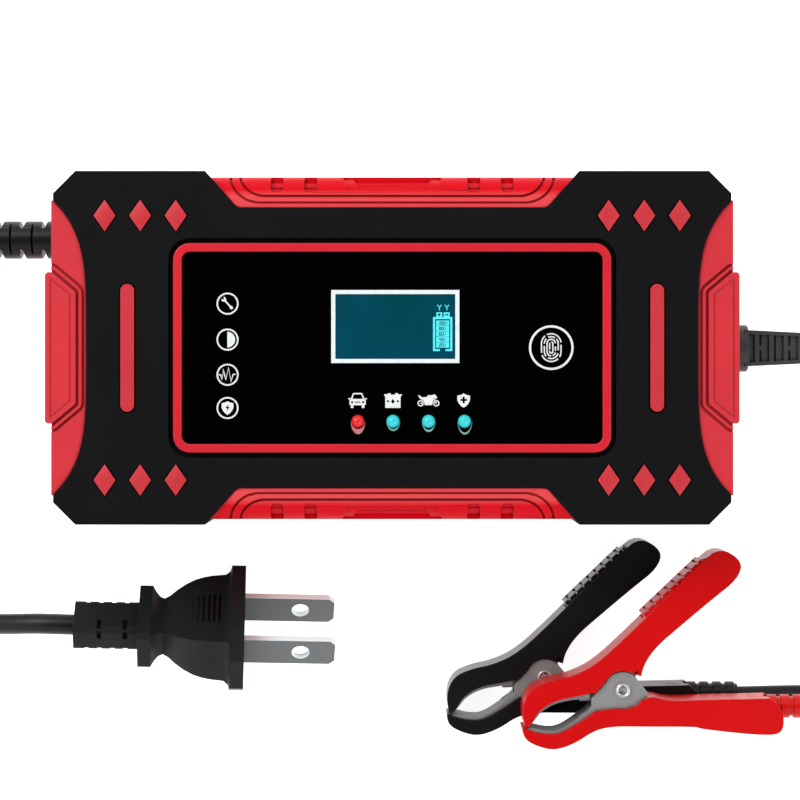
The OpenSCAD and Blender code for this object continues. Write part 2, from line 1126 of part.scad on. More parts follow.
module dc_cord_tie() {
  color(black)
    translate(dc_coil)
      mirror([1, 0, 0])
        coil_tie();
}

module dc_splitter() {
  color(black)
    translate(splitter)
      difference() {
        prism(0, splitter_h)
          round_rect(splitter_w, splitter_l, 2);
        translate([0, splitter_l / 2 - 4, 3.9])
          rotate([-90, 0, 0])
            cylinder(d = cord_d, h = 6);
        for (x = [-2.4, 2.4])
          translate([x, 4 - splitter_l / 2, 3.6])
            rotate([90, 0, 0])
              cylinder(d = lead_d, h = 6);
      }
}

module black_lead() {
  color(black)
    tube(black_lead_route, lead_d / 2, 8);
}

module red_lead() {
  color(red)
    tube(red_lead_route, lead_d / 2, 8);
}

// Plug, built along X with the blades' gap along Z, then rolled and pitched

module in_plug() {
  translate(plug_at)
    rotate([plug_roll, -plug_pitch, plug_yaw])
      children();
}

module octagon(half_w, half_n, cut_w, cut_n) {
  polygon([
    [half_w, half_n - cut_n], [half_w - cut_w, half_n], [cut_w - half_w, half_n], [-half_w, half_n - cut_n],
    [-half_w, cut_n - half_n], [cut_w - half_w, -half_n], [half_w - cut_w, -half_n], [half_w,
    cut_n - half_n]
  ]);
}

// The body swells from its neck to the flange, with one outline across Y and another across Z
module plug_bell() {
  intersection() {
    prism(-flange_half_n, flange_half_n)
      mirrored_profile(bell_w);
    rotate([90, 0, 0])
      prism(-flange_half_w, flange_half_w)
        mirrored_profile(bell_n);
  }
}

module corner_cuts(x, side) {
  for (s = [-1, 1])
    translate([x + tail_slot / 2, s * tail_half_w, side * s * tail_half_n])
      cube([tail_slot, 2.6, 3.6], center = true);
}

module tail_slots() {
  for (i = [0 : 3])
    corner_cuts(tail_slot_x + i * tail_slot_pitch, -1);
  for (i = [1, 3])
    for (s = [-1, 1])
      translate([tail_slot_x + i * tail_slot_pitch + tail_slot / 2, 0, 0]) {
        translate([0, s * tail_half_w, s * (tail_half_n - 2.3)])
          cube([tail_slot, 2.4, 3], center = true);
        translate([0, s * (tail_half_w - 2.1), s * tail_half_n])
          cube([tail_slot, 2.6, 2.4], center = true);
      }
}

module grip_grooves() {
  for (i = [0 : 5])
    for (s = [-1, 1])
      translate([grip_x + i * grip_pitch, s * 7.3, 0])
        cube([0.75, 1.6, 2 * grip_half], center = true);
}

module plug_body() {
  color(black)
    in_plug()
      difference() {
        union() {
          along_x(0, collar_x0 + 1)
            round_rect(2 * tail_half_w, 2 * tail_half_n, 1.8);
          along_x(collar_x0, collar_x1)
            octagon(6.7, 10, 1.4, 1.4);
          plug_bell();
          along_x(flange_x0, flange_x1)
            octagon(flange_half_w, flange_half_n, flange_cut_w, flange_cut_n);
        }
        tail_slots();
        grip_grooves();
        rod_x(cord_d / 2 + 0.01, -1, 7.5);
        both_z()
          translate([flange_x1 - blade_buried, -blade_width / 2, blade_gap / 2 - blade_thickness / 2])
            cube([blade_buried + 1, blade_width, blade_thickness]);
      }
}

module blade_plan() {
  l = blade_length + blade_buried;
  h = blade_width / 2;
  polygon([
    [0, -h], [l - blade_cut, -h], [l, blade_cut - h], [l, h - blade_cut], [l - blade_cut, h], [0, h]
  ]);
}

module plug_blades() {
  color([0.75, 0.75, 0.75])
    in_plug()
      both_z()
        translate([flange_x1 - blade_buried, 0, blade_gap / 2 - blade_thickness / 2])
          difference() {
            prism(0, blade_thickness)
              blade_plan();
            translate([blade_buried + blade_hole_x, 0, -1])
              cylinder(r = blade_hole_r, h = 4);
          }
}

// Clamps, drawn about the rivet

// The jaws' opening: the outer outline is the boots' edge, the inner one the steel lining's edge.
module jaw_outer() {
  polygon(smooth([
    [-26, -9.85], [-24.4, -9.3], [-22.4, -5.4], [-18, -2.6], [-11.5, -1.4], [-6.5, -0.2],
    [-6.5, -5], [-12.4, -9], [-17, -11.6], [-21, -11.6], [-25, -10.6]
  ]));
}

module jaw_inner() {
  polygon(smooth([
    [-25.2, -9.9], [-23.2, -7.8], [-21.6, -5.6], [-17.7, -3.35], [-12, -2.35], [-7.2, -2],
    [-8.2, -4.6], [-12.3, -7.9], [-17, -10.9], [-20.8, -10.85], [-23.6, -10.1]
  ]));
}

module upper_zone() {
  polygon([[-40, -9.6], [-22, -9.6], [-8, -3.2], [0, 0], [9, 2], [60, 5], [60, 60], [-40, 60]]);
}

module lower_zone() {
  polygon([[-40, -9.95], [-22, -9.95], [-8, -3.55], [0, -0.4], [9, -1], [60, -1], [60, -30], [-40, -30]]);
}

module moving_outline() {
  polygon(smooth([
    [-25.6, -12], [-27, -5], [-25, 0.2], [-20, 2.4], [-13.6, 3.7], [-7, 7], [2, 15.4], [11.4,
    24.7], [20.5, 34],
    [26, 38.2], [32, 34.4], [30.5, 29.6], [23.9, 24.4], [14.6, 16.6], [8.6, 11.4], [5.4, 6.6], [4.6, 2],
    [0, -3], [-12, -8]
  ]));
}

module fixed_outline() {
  polygon(smooth([
    [-25, -6], [-26.9, -9.6], [-26.2, -13], [-22.4, -15], [-18, -15.9], [-12.6, -14], [-7.6,
    -10.6], [-2.6, -9.5],
    [6, -9.6], [20, -9.6], [20.4, -10.2], [39.5, -12.2], [42.9, -10.6], [42.7, -5.2], [39.4, -1.9],
    [38, -2.1],
    [21.5, -2.4], [12.5, -2.8], [7.7, -1.4], [5.6, -2.6], [2, -2], [-8, -2], [-16, -6]
  ]));
}

// The fixed half's outer plates: an ear round the rivet, a beak, and a neck down to the lower lining
module beak() {
  polygon([[4.2, 2.4], [7, -0.9], [5.4, -2.3], [3.2, -4.4], [0, -2]]);
}

module fixed_plate() {
  circle(ear_r);
  beak();
  polygon([[-4.1, 2.3], [-6.8, -0.5], [-8.3, -2.2], [-8.3, -4.8], [-11.5, -7], [-11.5, -8.1], [-7,
    -5.4], [0, -4.6]]);
}

module moving_ear() {
  circle(inner_ear_r);
  polygon([[-3, 3], [-7, -0.9], [-11.5, -1.9], [-11.5, -3], [-8, -2.9], [-4, -2]]);
}

module upper_lining() {
  intersection() {
    difference() {
      jaw_outer();
      jaw_inner();
    }
    upper_zone();
    translate([-40, -30])
      square([40 - 8.8, 60]);
  }
}

module lower_lining() {
  intersection() {
    difference() {
      jaw_outer();
      jaw_inner();
    }
    lower_zone();
    translate([-40, -30])
      square([40 - 8.3, 60]);
  }
}

module moving_tongue() {
  difference() {
    polygon([[-3, 3.5], [3.4, 3.1], [8, 12.4], [19, 22.6], [16.4, 25.4], [3.8, 13.6]]);
    circle(3.9);
  }
}

module fixed_tongue() {
  difference() {
    polygon([[1, -4.6], [3.6, -4], [9, -4.4], [30, -4.4], [30, -8], [3, -8]]);
    circle(ear_r + 0.05);
  }
}

// A pad on the moving handle's outer side, with grooves that stop short of the lower face
module grip_pad() {
  translate([5.8, 19.4, 0])
    rotate([0, 0, grip_angle])
      difference() {
        translate([0.3, -1, 0.4 - half_t])
          cube([21.2, 2, 2 * half_t - 0.8]);
        for (i = [0 : 7])
          translate([1.6 + i * grip_groove_pitch, 0.5, 1.6 - half_t])
            cube([grip_groove, 1, 2 * half_t]);
      }
}

module moving_boot() {
  difference() {
    union() {
      prism(-half_t, half_t)
        difference() {
          intersection() {
            moving_outline();
            upper_zone();
          }
          jaw_outer();
          circle(ear_r + part_gap);
          offset(delta = part_gap)
            fixed_plate();
          for (a = [8 : 8 : 32])
            rotate(a)
              offset(delta = part_gap)
                beak();
        }
      grip_pad();
    }
    prism(-inner_ear[1], inner_ear[1])
      moving_tongue();
  }
}

module fixed_boot() {
  difference() {
    prism(-half_t, half_t)
      difference() {
        intersection() {
          fixed_outline();
          lower_zone();
        }
        jaw_outer();
        circle(ear_r + 0.05);
        fixed_plate();
      }
    prism(-outer_ear[1], outer_ear[1])
      fixed_tongue();
    translate([0, sleeve_y, 0])
      rod_x(sleeve_r, sleeve_x0, sleeve_x1);
    translate([0, sleeve_y, 0])
      rod_x(sleeve_r + 0.7, 38.4, sleeve_x1);
  }
  cable_sleeve();
}

module cable_sleeve() {
  translate([0, sleeve_y, 0])
    difference() {
      union() {
        rod_x(sleeve_r - 0.2, sleeve_x0 - 0.1, sleeve_x1);
        rod_x(sleeve_r + 0.05, sleeve_x0, 38.2);
        for (i = [0 : 3])
          rod_x(sleeve_r + 0.35, 39.2 + i * 3.5, 41.6 + i * 3.5);
      }
      rod_x(lead_d / 2 + 0.01, sleeve_x1 - 6, sleeve_x1 + 1);
    }
}

module moving_jaw() {
  difference() {
    union() {
      both_z()
        prism(inner_ear[0], inner_ear[1])
          moving_ear();
      prism(-inner_ear[1], inner_ear[1])
        moving_tongue();
      prism(-outer_ear[1], outer_ear[1])
        upper_lining();
    }
    cylinder(r = rivet_r + running_gap, h = 20, center = true);
  }
}

module fixed_jaw() {
  difference() {
    union() {
      both_z()
        prism(outer_ear[0], outer_ear[1])
          fixed_plate();
      prism(-outer_ear[1], outer_ear[1])
        fixed_tongue();
      prism(-outer_ear[1], outer_ear[1])
        lower_lining();
    }
    cylinder(r = rivet_r, h = 20, center = true);
  }
}

module clamp_rivet() {
  difference() {
    union() {
      cylinder(r = rivet_r, h = 2 * outer_ear[1] + 0.6, center = true);
      both_z()
        prism(outer_ear[1], half_t - 0.2)
          circle(head_r);
    }
    both_z()
      prism(half_t - 0.6, half_t)
        circle(head_r - 0.5);
  }
}

module clamp_spring() {
  for (i = [-2 : 2])
    translate([0, 0, i * 0.9])
      torus(2.5, spring_wire);
  translate([0, -2.5, 1.8])
    rotate([0, 90, -38])
      cylinder(d = spring_wire, h = 2.8, $fn = 16);
}

module black_fixed_boot() {
  color(black)
    translate(black_clamp_at)
      fixed_boot();
}

module black_moving_boot() {
  color(black)
    translate(black_clamp_at)
      moving_boot();
}

module black_fixed_jaw() {
  color(steel)
    translate(black_clamp_at)
      fixed_jaw();
}

module black_moving_jaw() {
  color(steel)
    translate(black_clamp_at)
      moving_jaw();
}

module black_rivet() {
  color(steel)
    translate(black_clamp_at)
      clamp_rivet();
}

module black_spring() {
  color(steel)
    translate(black_clamp_at)
      clamp_spring();
}

module red_fixed_boot() {
  color(red)
    translate(red_clamp_at)
      fixed_boot();
}

module red_moving_boot() {
  color(red)
    translate(red_clamp_at)
      moving_boot();
}

module red_fixed_jaw() {
  color(steel)
    translate(red_clamp_at)
      fixed_jaw();
}

module red_moving_jaw() {
  color(steel)
    translate(red_clamp_at)
      moving_jaw();
}

module red_rivet() {
  color(steel)
    translate(red_clamp_at)
      clamp_rivet();
}

module red_spring() {
  color(steel)
    translate(red_clamp_at)
      clamp_spring();
}

rear_shell();
front_shell();
feet();
case_screws();
end_bumper_left();
end_bumper_right();
end_block_left();
end_block_right();
grip_strip_top();
grip_strip_bottom();
panel_frame();
front_panel();
diamond_studs();
side_bars();
lcd_bezel();
lcd_glass();
lcd_backlight();
led_red();
leds_cyan();
touch_spring();
display_board();
main_board();
board_screws();
transformer_core();
transformer_winding();
bulk_capacitor();
output_capacitors();
filter_choke();
heatsinks();
power_transistors();
fuse();
fan_frame();
fan_rotor();
mains_strain_relief();
mains_cord_lead();
mains_cord_coil();
mains_cord_tie();
mains_cord_tail();
plug_body();
plug_blades();
dc_strain_relief();
dc_cord_lead();
dc_cord_coil();
dc_cord_tie();
dc_cord_tail();
dc_splitter();
black_fixed_boot();
black_moving_boot();
black_fixed_jaw();
black_moving_jaw();
black_rivet();
black_spring();
black_lead();
red_fixed_boot();
red_moving_boot();
red_fixed_jaw();
red_moving_jaw();
red_rivet();
red_spring();
red_lead();
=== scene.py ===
import math

import bmesh
import bpy
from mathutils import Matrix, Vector
from mathutils.geometry import tessellate_polygon


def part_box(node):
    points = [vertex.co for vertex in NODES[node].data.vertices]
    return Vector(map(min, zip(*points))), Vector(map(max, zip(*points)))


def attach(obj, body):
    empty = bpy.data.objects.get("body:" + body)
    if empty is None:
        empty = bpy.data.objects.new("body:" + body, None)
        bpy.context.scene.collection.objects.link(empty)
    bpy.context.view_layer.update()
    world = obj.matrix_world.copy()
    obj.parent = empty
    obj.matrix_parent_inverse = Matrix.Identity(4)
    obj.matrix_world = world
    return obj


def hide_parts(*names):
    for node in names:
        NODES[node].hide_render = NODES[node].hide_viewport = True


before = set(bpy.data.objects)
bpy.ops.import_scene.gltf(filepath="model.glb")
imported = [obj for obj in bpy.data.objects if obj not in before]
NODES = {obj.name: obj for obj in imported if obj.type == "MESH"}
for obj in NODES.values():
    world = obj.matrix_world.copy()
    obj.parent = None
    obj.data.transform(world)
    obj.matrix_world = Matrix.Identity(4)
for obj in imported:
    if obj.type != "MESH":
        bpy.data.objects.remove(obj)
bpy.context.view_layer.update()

MM = 0.001
SCENE = bpy.context.scene
BODY = "charger"
CAMERA_PLACE = (0.0020, -0.01336, 0.600)
CAMERA_LENS = 97.4
SENSOR_WIDTH = 36.0
SMOOTH_ANGLE = 30.0
SHARP_ANGLE = 32.0
WELD = 2e-6
# How the plug lies: rolled about its length, nose down. BLADE_NORMAL is square to its blades' flat faces.
PLUG_ROLL = math.radians(40.0)
PLUG_PITCH = math.radians(-4.0)
BLADE_NORMAL = (-math.cos(PLUG_ROLL) * math.sin(PLUG_PITCH), -math.sin(PLUG_ROLL),
                math.cos(PLUG_ROLL) * math.cos(PLUG_PITCH))


# ---------------------------------------------------------------- camera

def make_camera():
    """Straight above the face, so that the housing is seen square on."""
    data = bpy.data.cameras.new("camera")
    camera = bpy.data.objects.new("camera", data)
    camera.location = CAMERA_PLACE
    data.sensor_width = SENSOR_WIDTH
    data.lens = CAMERA_LENS
    SCENE.collection.objects.link(camera)
    SCENE.camera = camera


# ---------------------------------------------------------------- materials

def node_of(tree, kind, **values):
    node = tree.nodes.new(kind)
    for key, value in values.items():
        setattr(node, key, value)
    return node


def noise(tree, coords, scale, detail=4.0, roughness=0.55):
    node = node_of(tree, "ShaderNodeTexNoise")
    node.inputs["Scale"].default_value = scale
    node.inputs["Detail"].default_value = detail
    node.inputs["Roughness"].default_value = roughness
    tree.links.new(coords, node.inputs["Vector"])
    return node.outputs["Fac"]


def remap(tree, value, low, high, start=0.3, end=0.7):
    """Turns start..end into low..high. The defaults are the span in which noise mostly lies."""
    node = node_of(tree, "ShaderNodeMapRange")
    node.inputs["From Min"].default_value = start
    node.inputs["From Max"].default_value = end
    node.inputs["To Min"].default_value = low
    node.inputs["To Max"].default_value = high
    tree.links.new(value, node.inputs["Value"])
    return node.outputs["Result"]


def mix_colours(tree, factor, a, b):
    node = node_of(tree, "ShaderNodeMix", data_type="RGBA")
    node.inputs["A"].default_value = (*a, 1.0)
    node.inputs["B"].default_value = (*b, 1.0)
    tree.links.new(factor, node.inputs["Factor"])
    return node.outputs["Result"]


def bump(tree, height, strength, distance):
    node = node_of(tree, "ShaderNodeBump")
    node.inputs["Strength"].default_value = strength
    node.inputs["Distance"].default_value = distance
    tree.links.new(height, node.inputs["Height"])
    return node.outputs["Normal"]


def start_material(name):
    material = bpy.data.materials.new(name)
    material.use_nodes = True
    tree = material.node_tree
    shader = tree.nodes["Principled BSDF"]
    coords = node_of(tree, "ShaderNodeTexCoord").outputs["Object"]
    return material, tree, shader, coords


def moulded_start(name, colour, rough, grain=2600.0, depth=0.00004, mottle=0.10, spread=0.08, specular=0.5):
    """Moulded plastic or rubber: a fine spark-eroded grain, slow colour drift and faint handling marks."""
    material, tree, shader, coords = start_material(name)
    drift = noise(tree, coords, 60.0, 3.0)
    darker = tuple(c * (1.0 - mottle) for c in colour)
    lighter = tuple(min(1.0, c * (1.0 + mottle)) for c in colour)
    tree.links.new(mix_colours(tree, remap(tree, drift, 0.0, 1.0), darker, lighter),
                   shader.inputs["Base Color"])
    marks = noise(tree, coords, 260.0, 6.0, 0.7)
    tree.links.new(remap(tree, marks, rough - spread, rough + spread), shader.inputs["Roughness"])
    shader.inputs["Specular IOR Level"].default_value = specular
    fine = noise(tree, coords, grain, 2.0, 0.5)
    tree.links.new(bump(tree, fine, 0.35, depth), shader.inputs["Normal"])
    return material, tree, shader, coords


def moulded(*settings, **more):
    return moulded_start(*settings, **more)[0]


def metal_start(name, colour, rough, stretch=(1.0, 1.0, 14.0), scale=900.0, metallic=1.0):
    """Rolled or plated metal with drawn lines and a few dull spots."""
    material, tree, shader, coords = start_material(name)
    mapping = node_of(tree, "ShaderNodeMapping")
    mapping.inputs["Scale"].default_value = stretch
    tree.links.new(coords, mapping.inputs["Vector"])
    lines = noise(tree, mapping.outputs["Vector"], scale, 4.0, 0.6)
    spots = noise(tree, coords, 180.0, 5.0, 0.65)
    darker = tuple(c * 0.92 for c in colour)
    tree.links.new(mix_colours(tree, remap(tree, spots, 0.0, 1.0), darker, colour), shader.inputs["Base Color"])
    tree.links.new(remap(tree, lines, rough - 0.08, rough + 0.12), shader.inputs["Roughness"])
    shader.inputs["Metallic"].default_value = metallic
    tree.links.new(bump(tree, lines, 0.2, 0.000006), shader.inputs["Normal"])
    return material, tree, shader, coords


def metal(*settings, **more):
    return metal_start(*settings, **more)[0]


def glowing(name, colour, glow, strength, rough=0.25):
    """A glowing part: a lamp lens, a display segment, a painted lamp reflection, or white print given a faint
    painted glow.
    """
    material, tree, shader, coords = start_material(name)
    cloud = noise(tree, coords, 500.0, 3.0)
    dim = tuple(c * 0.86 for c in colour)
    tree.links.new(mix_colours(tree, remap(tree, cloud, 0.0, 1.0), dim, colour), shader.inputs["Base Color"])
    tree.links.new(remap(tree, cloud, rough - 0.05, rough + 0.08), shader.inputs["Roughness"])
    shader.inputs["Emission Color"].default_value = (*glow, 1.0)
    shader.inputs["Emission Strength"].default_value = strength
    return material


def display_glass():
    """Dark teal display with a slow drift from blue to green and a fine cell pattern."""
    material, tree, shader, coords = start_material("display_glass")
    drift = noise(tree, coords, 45.0, 2.0)
    colour = mix_colours(tree, remap(tree, drift, 0.0, 1.0, 0.35, 0.65), (0.0008, 0.040, 0.052),
                         (0.0014, 0.044, 0.078))
    tree.links.new(colour, shader.inputs["Base Color"])
    tree.links.new(colour, shader.inputs["Emission Color"])
    shader.inputs["Emission Strength"].default_value = 0.25
    cells = noise(tree, coords, 3000.0, 1.0)
    tree.links.new(remap(tree, cells, 0.06, 0.12), shader.inputs["Roughness"])
    return material


def floor_material():
    """A white light table, so the object lies on an even pale ground."""
    material, tree, shader, coords = start_material("floor")
    cloud = noise(tree, coords, 30.0, 3.0)
    tree.links.new(mix_colours(tree, remap(tree, cloud, 0.0, 1.0), (0.80, 0.80, 0.80), (0.83, 0.83, 0.83)),
                   shader.inputs["Base Color"])
    shader.inputs["Roughness"].default_value = 0.7
    shader.inputs["Specular IOR Level"].default_value = 0.1
    shader.inputs["Emission Color"].default_value = (1.0, 1.0, 1.0, 1.0)
    shader.inputs["Emission Strength"].default_value = 0.85
    return material


def paint_groove_shade(tree, shader, dark, reach=1.2):
    """Paints shade into the colour wherever the surface is hemmed in: an occlusion mask blends in the painted
    groove shade.
    """
    plain = shader.inputs["Base Color"].links[0].from_socket
    # painted shade: the occlusion mask darkens the base colour in grooves and recesses
    groove_shade_ao = node_of(tree, "ShaderNodeAmbientOcclusion", samples=8)
    groove_shade_ao.inputs["Distance"].default_value = reach * MM
    mixed = node_of(tree, "ShaderNodeMix", data_type="RGBA")
    mixed.inputs["A"].default_value = (*dark, 1.0)
    tree.links.new(plain, mixed.inputs["B"])
    tree.links.new(remap(tree, groove_shade_ao.outputs["AO"], 0.0, 1.0, 0.42, 0.88), mixed.inputs["Factor"])
    tree.links.new(mixed.outputs["Result"], shader.inputs["Base Color"])


def trim_material(name, colour, dark, rough=0.42):
    """Moulded red trim with painted shade deepening the red in its grooves; dark is the painted shade colour.
    """
    material, tree, shader, coords = moulded_start(name, colour, rough=rough, grain=2200.0, depth=0.00002,
                                                   mottle=0.04, spread=0.05, specular=0.3)
    paint_groove_shade(tree, shader, dark)
    return material


# distances from the middle: the strips' painted highlight ends at the first, their painted shade is full from
# the second
STRIP_PAINTED_HIGHLIGHT_TO = 38.8 * MM
STRIP_PAINTED_SHADE_FROM = 40.5 * MM


def strip_material():
    """Red rubber with a painted highlight along the inner half of the face, painted shade towards the shoulder
    and painted shade in its grooves.
    """
    material, tree, shader, coords = moulded_start("strip_red", (0.6, 0.01, 0.02), rough=0.42, grain=1800.0,
                                                   depth=0.00002, mottle=0.03, spread=0.05, specular=0.08)
    place = node_of(tree, "ShaderNodeSeparateXYZ")
    tree.links.new(coords, place.inputs["Vector"])
    out = node_of(tree, "ShaderNodeMath", operation="ABSOLUTE")
    tree.links.new(place.outputs["Y"], out.inputs[0])
    # painted highlight near the face fading to painted shade at the shoulder
    inner = remap(tree, out.outputs["Value"], 1.0, 0.0, STRIP_PAINTED_HIGHLIGHT_TO, STRIP_PAINTED_SHADE_FROM)
    tree.links.new(mix_colours(tree, inner, (0.56, 0.001, 0.008), (0.64, 0.055, 0.060)),
                   shader.inputs["Base Color"])
    paint_groove_shade(tree, shader, (0.26, 0.0005, 0.003), 0.9)
    return material


def relief_material():
    """Grey rubber with painted shade darkening the windows between its ribs, so the ribs read paler."""
    material, tree, shader, _ = moulded_start("relief_grey", (0.040, 0.045, 0.047), rough=0.44, grain=1600.0,
                                              depth=0.00001, mottle=0.1, spread=0.04, specular=0.25)
    paint_groove_shade(tree, shader, (0.006, 0.006, 0.006), 1.0)
    return material


def blade_material():
    """Nickel-plated brass: dull rolled faces and a painted highlight on the sheared edges, picked out by their
    normal and tinted cyan against red bounce light.
    """
    material, tree, shader, coords = metal_start("blade_nickel", (0.5, 0.5, 0.5), rough=0.45,
                                                 stretch=(14.0, 1.0, 1.0), scale=900.0, metallic=0.1)
    dot = node_of(tree, "ShaderNodeVectorMath", operation="DOT_PRODUCT")
    tree.links.new(node_of(tree, "ShaderNodeNewGeometry").outputs["Normal"], dot.inputs[0])
    dot.inputs[1].default_value = BLADE_NORMAL
    size = node_of(tree, "ShaderNodeMath", operation="ABSOLUTE")
    tree.links.new(dot.outputs["Value"], size.inputs[0])
    # painted highlight: faces square to BLADE_NORMAL keep the dark colour, all other faces get the pale
    # cyan-white highlight colour
    flat = remap(tree, size.outputs["Value"], 0.0, 1.0, 0.80, 0.97)
    tree.links.new(mix_colours(tree, flat, (0.80, 1.0, 1.0), (0.112, 0.116, 0.119)),
                   shader.inputs["Base Color"])
    return material


def make_materials():
    return {
        "shell": moulded("shell_black", (0.0045, 0.0045, 0.0052), rough=0.62, grain=2400.0, depth=0.00004,
                         mottle=0.08, spread=0.05, specular=0.06),
        "rubber": moulded("foot_rubber", (0.02, 0.02, 0.02), rough=0.75),
        # the second colour of trim, frame and stud is the painted shade in their grooves
        "trim": trim_material("trim_red", (0.53, 0.024, 0.034), (0.27, 0.0005, 0.003)),
        "frame": trim_material("frame_red", (0.53, 0.010, 0.022), (0.36, 0.001, 0.006), 0.40),
        "stud": trim_material("stud_red", (0.47, 0.028, 0.038), (0.12, 0.001, 0.003), 0.38),
        "strip": strip_material(),
        "panel": moulded("panel_black", (0.0006, 0.0006, 0.0006), rough=0.06, grain=900.0, depth=0.000004,
                         mottle=0.1, spread=0.015, specular=0.4),
        "bezel": glowing("display_edge", (0.62, 0.68, 0.70), glow=(0.9, 1.0, 1.0), strength=0.12, rough=0.3),
        "glass": display_glass(),
        "lamp_red": glowing("lamp_red", (0.34, 0.002, 0.002), glow=(1.0, 0.012, 0.012), strength=0.40,
                            rough=0.3),
        "lamp_cyan": glowing("lamp_cyan", (0.010, 0.25, 0.27), glow=(0.022, 0.86, 0.91), strength=0.45,
                             rough=0.3),
        "glint_red": glowing("glint_red", (0.50, 0.16, 0.16), glow=(1.0, 0.4, 0.4), strength=0.05, rough=0.3),
        "glint_cyan": glowing("glint_cyan", (0.14, 0.36, 0.35), glow=(0.4, 0.9, 0.9), strength=0.05,
                              rough=0.3),
        # painted light: the white print is given a faint glow of its own, though it is no lamp
        "print": glowing("white_print", (0.62, 0.64, 0.64), glow=(1.0, 1.0, 1.0), strength=0.12, rough=0.35),
        "segment": glowing("lit_segment", (0.07, 0.58, 0.62), glow=(0.12, 0.86, 0.92), strength=0.25,
                           rough=0.3),
        "board": moulded("board_green", (0.015, 0.10, 0.04), rough=0.35, grain=1200.0),
        "ferrite": moulded("ferrite", (0.03, 0.03, 0.033), rough=0.6, grain=1500.0, depth=0.0001),
        "tape": moulded("winding_tape", (0.65, 0.45, 0.04), rough=0.35, grain=900.0),
        "can": moulded("capacitor_sleeve", (0.01, 0.012, 0.03), rough=0.3, grain=900.0),
        "copper": metal("enamelled_copper", (0.75, 0.30, 0.10), rough=0.3),
        "aluminium": metal("extruded_aluminium", (0.75, 0.76, 0.78), rough=0.32),
        "component": moulded("component_black", (0.012, 0.012, 0.013), rough=0.45),
        "steel": metal("clamp_steel", (0.27, 0.27, 0.272), rough=0.50, metallic=0.4),
        "bright": metal("rivet_steel", (0.85, 0.85, 0.86), rough=0.24, stretch=(1.0, 1.0, 1.0), scale=400.0,
                        metallic=0.85),
        "nickel": blade_material(),
        "cord": moulded("cord_black", (0.008, 0.008, 0.009), rough=0.36, grain=1600.0, depth=0.00001,
                        mottle=0.1, spread=0.04, specular=0.22),
        "relief": moulded("relief_black", (0.006, 0.006, 0.006), rough=0.32, grain=1600.0, depth=0.00001,
                          mottle=0.1, spread=0.04, specular=0.22),
        "grey_relief": relief_material(),
        "plug": moulded("plug_black", (0.0122, 0.0137, 0.0140), rough=0.42, grain=1800.0, depth=0.00002,
                        mottle=0.1, spread=0.05, specular=0.07),
        "boot_black": moulded("boot_black", (0.005, 0.005, 0.0055), rough=0.32, grain=1500.0, depth=0.000006,
                              mottle=0.1, spread=0.02, specular=0.25),
        "boot_red": moulded("boot_red", (0.53, 0.0012, 0.0020), rough=0.32, grain=1500.0, depth=0.000006,
                            mottle=0.03, spread=0.02, specular=0.25),
        "cord_red": moulded("cord_red", (0.46, 0.004, 0.008), rough=0.36, grain=1600.0, depth=0.00001,
                            mottle=0.04, spread=0.04, specular=0.35),
    }


# ---------------------------------------------------------------- mesh helpers

def add_object(name, data, material):
    piece = bpy.data.objects.new(name, data)
    SCENE.collection.objects.link(piece)
    data.materials.append(material)
    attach(piece, BODY)
    return piece


def circle_loop(x, y, r, count=48, start=0.0, end=360.0):
    turn = math.radians(end - start)
    closed = abs(end - start) >= 360.0
    steps = count if closed else count + 1
    return [(x + r * math.cos(math.radians(start) + turn * i / count),
             y + r * math.sin(math.radians(start) + turn * i / count)) for i in range(steps)]


def ring(x, y, r, line):
    return [circle_loop(x, y, r), circle_loop(x, y, r - line)]


def disc(x, y, r, count=32):
    return [circle_loop(x, y, r, count)]


def rectangle(x0, y0, x1, y1):
    return [[(x0, y0), (x1, y0), (x1, y1), (x0, y1)]]


def stroke(points, width):
    """The outline of a line of that width along the points, with mitred corners."""
    points = [Vector(p) for p in points]
    left, right = [], []
    for i, p in enumerate(points):
        before = (p - points[i - 1]).normalized() if i else None
        after = (points[i + 1] - p).normalized() if i + 1 < len(points) else None
        if before is None:
            along, stretch = after, 1.0
        elif after is None:
            along, stretch = before, 1.0
        else:
            along = (before + after).normalized()
            stretch = min(1.8, 1.0 / max(0.3, along.dot(before)))
        side = Vector((-along.y, along.x)) * (width / 2 * stretch)
        left.append(tuple(p + side))
        right.append(tuple(p - side))
    return [left + right[::-1]]


def flat_piece(name, shapes, z, thickness, material):
    """Thin closed solids from flat shapes in millimetres, each its outer loop and then its holes."""
    vertices, faces = [], []
    for shape in shapes:
        loops = [[Vector((x, y, 0.0)) for x, y in loop] for loop in shape]
        triangles = tessellate_polygon(loops)
        flat = [p for loop in loops for p in loop]
        base = len(vertices)
        vertices += [(p.x * MM, p.y * MM, z * MM) for p in flat]
        vertices += [(p.x * MM, p.y * MM, (z + thickness) * MM) for p in flat]
        top = base + len(flat)
        for a, b, c in triangles:
            faces.append((base + a, base + b, base + c))
            faces.append((top + c, top + b, top + a))
        start = 0
        for loop in loops:
            count = len(loop)
            for i in range(count):
                a, b = start + i, start + (i + 1) % count
                faces.append((base + a, base + b, top + b, top + a))
            start += count
    mesh = bpy.data.meshes.new(name)
    mesh.from_pydata(vertices, [], faces)
    work = bmesh.new()
    work.from_mesh(mesh)
    bmesh.ops.recalc_face_normals(work, faces=work.faces)
    work.to_mesh(mesh)
    work.free()
    return add_object(name, mesh, material)


